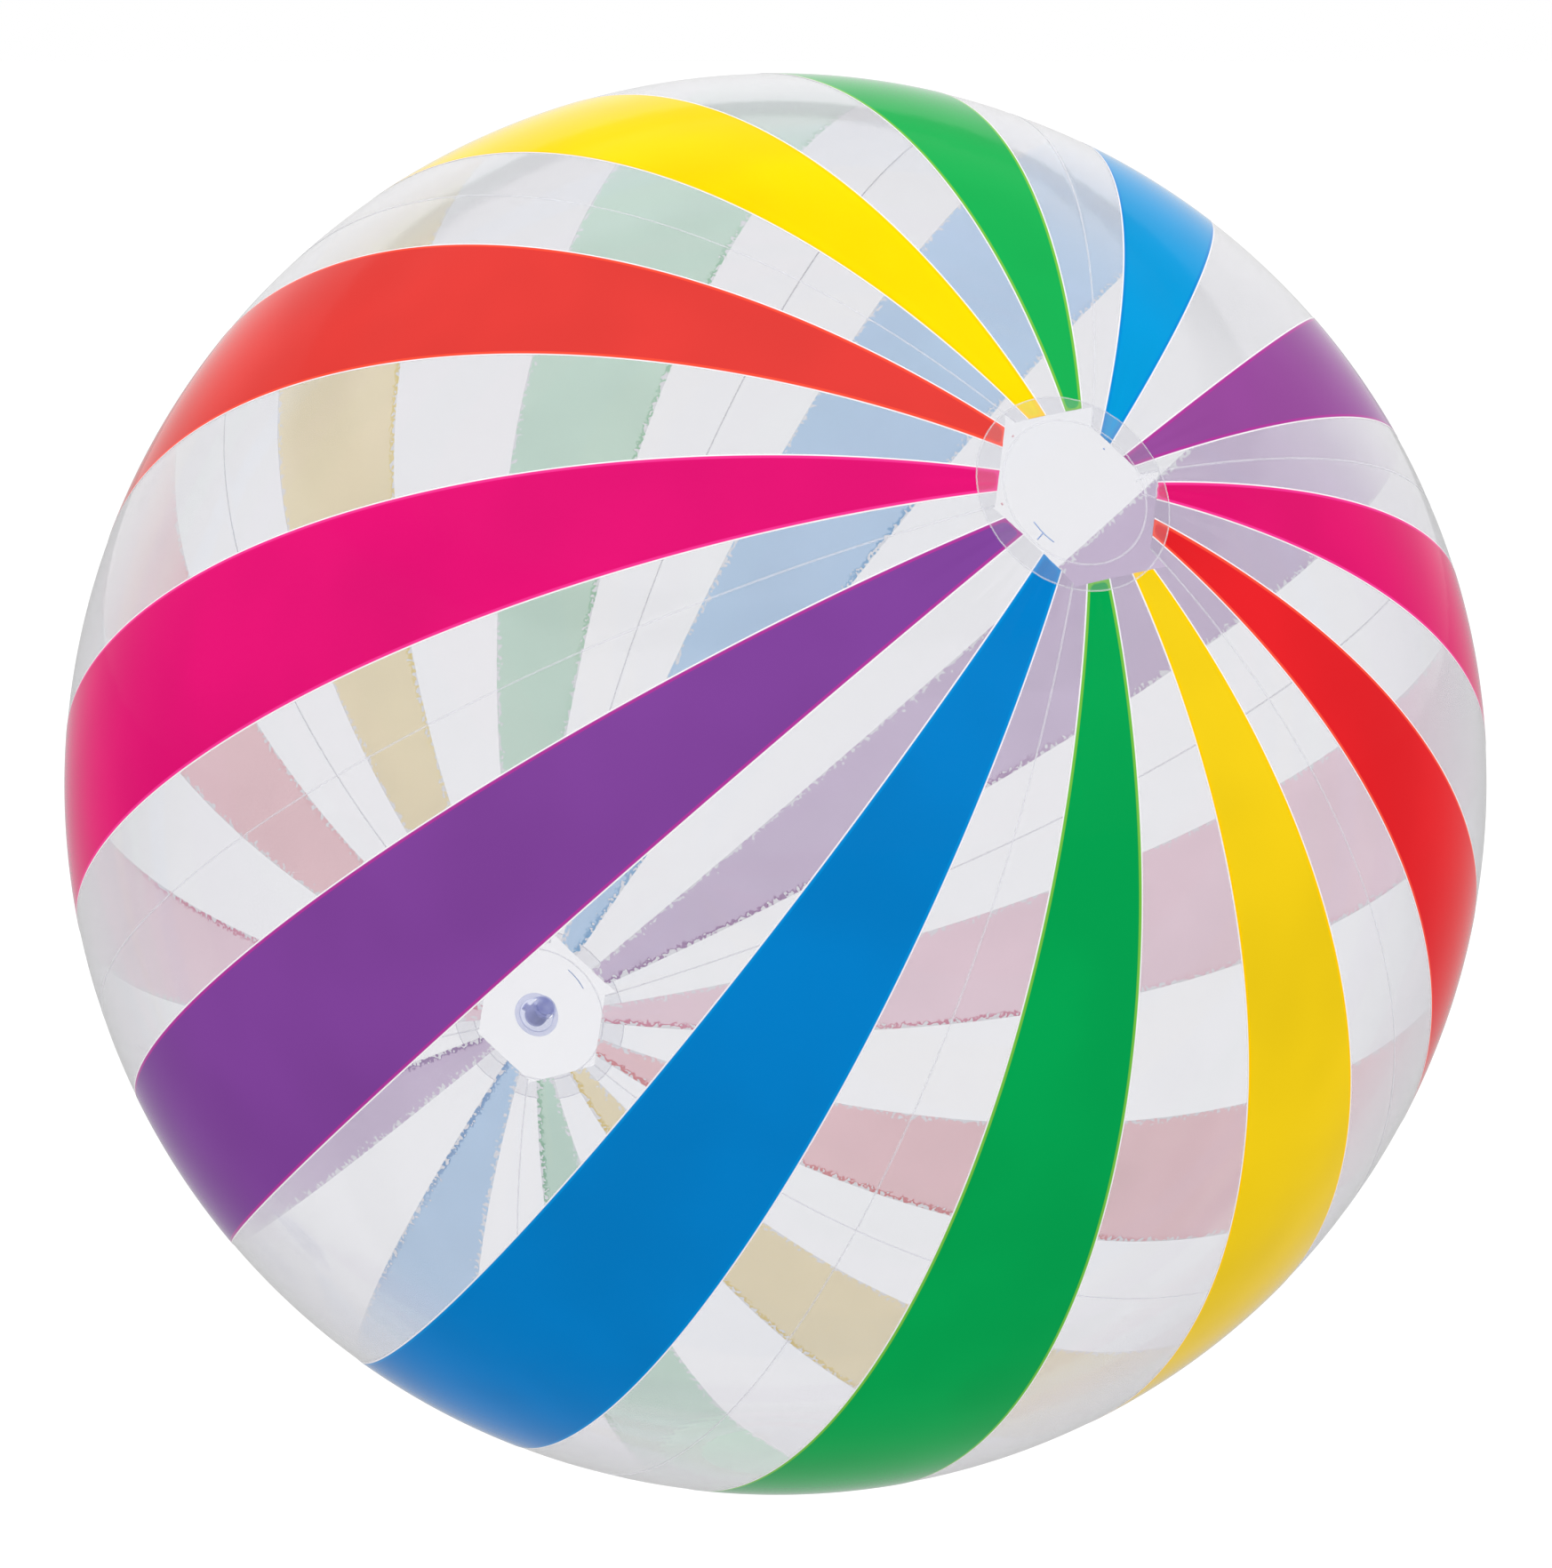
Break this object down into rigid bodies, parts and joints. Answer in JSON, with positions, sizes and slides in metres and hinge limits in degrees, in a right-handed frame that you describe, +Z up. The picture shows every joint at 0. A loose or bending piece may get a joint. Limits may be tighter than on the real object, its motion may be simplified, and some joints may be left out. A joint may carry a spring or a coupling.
{
  "type": "inflatable beach ball",
  "caption": "Clear inflatable beach ball with printed colour stripes from pole to pole, a round film cap at each pole and a push-in valve with a plug on a strap.",
  "frame": {"origin": "middle of the flat patch that the blown-up ball stands on", "axes": "+Z up, +X to the right and -Y to the front, where the plain cap's pole leans up and to the right"},
  "size_m": [0.6804, 0.6804, 0.6778],
  "materials": {
    "clear_film": "clear glossy PVC film",
    "print_yellow": "solvent ink printed over white on glossy PVC film",
    "print_green": "solvent ink printed over white on glossy PVC film",
    "print_blue": "solvent ink printed over white on glossy PVC film",
    "print_purple": "solvent ink printed over white on glossy PVC film",
    "print_magenta": "solvent ink printed over white on glossy PVC film",
    "print_red": "solvent ink printed over white on glossy PVC film",
    "valve_vinyl": "soft moulded PVC, pale blue and see-through"
  },
  "bodies": {
    "ball": {"gore_1": "clear_film", "gore_2": "clear_film", "gore_3": "clear_film", "gore_4": "clear_film", "gore_5": "clear_film", "gore_6": "clear_film", "stripe_01_yellow": "print_yellow", "stripe_02_green": "print_green", "stripe_03_blue": "print_blue", "stripe_04_purple": "print_purple", "stripe_05_magenta": "print_magenta", "stripe_06_red": "print_red", "stripe_07_yellow": "print_yellow", "stripe_08_green": "print_green", "stripe_09_blue": "print_blue", "stripe_10_purple": "print_purple", "stripe_11_magenta": "print_magenta", "stripe_12_red": "print_red", "plain_cap": "clear_film", "valve_cap": "clear_film", "valve_flange": "valve_vinyl", "valve_neck": "valve_vinyl"},
    "valve": {"valve_stem": "valve_vinyl"},
    "plug": {"plug": "valve_vinyl", "plug_strap": "valve_vinyl"},
    "flap": {"check_flap": "valve_vinyl"}
  },
  "joints": [
    {"name": "valve_pull", "type": "slide", "parent": "ball", "child": "valve", "axis": [-0.3846, 0.768, -0.512], "range_m": [0, 0.013], "deforming": ["valve_neck"]},
    {"name": "plug_swing", "type": "hinge", "parent": "valve", "child": "plug", "pos_m": [-0.13791, 0.26277, 0.16735], "axis": [0.4701, 0.6404, 0.6074], "range_deg": [0, 135]},
    {"name": "flap_swing", "type": "hinge", "parent": "valve", "child": "flap", "pos_m": [-0.12213, 0.25177, 0.16672], "axis": [0.4701, 0.6404, 0.6074], "range_deg": [0, 70], "stiffness_Nm_per_rad": 0.0001}
  ]
}
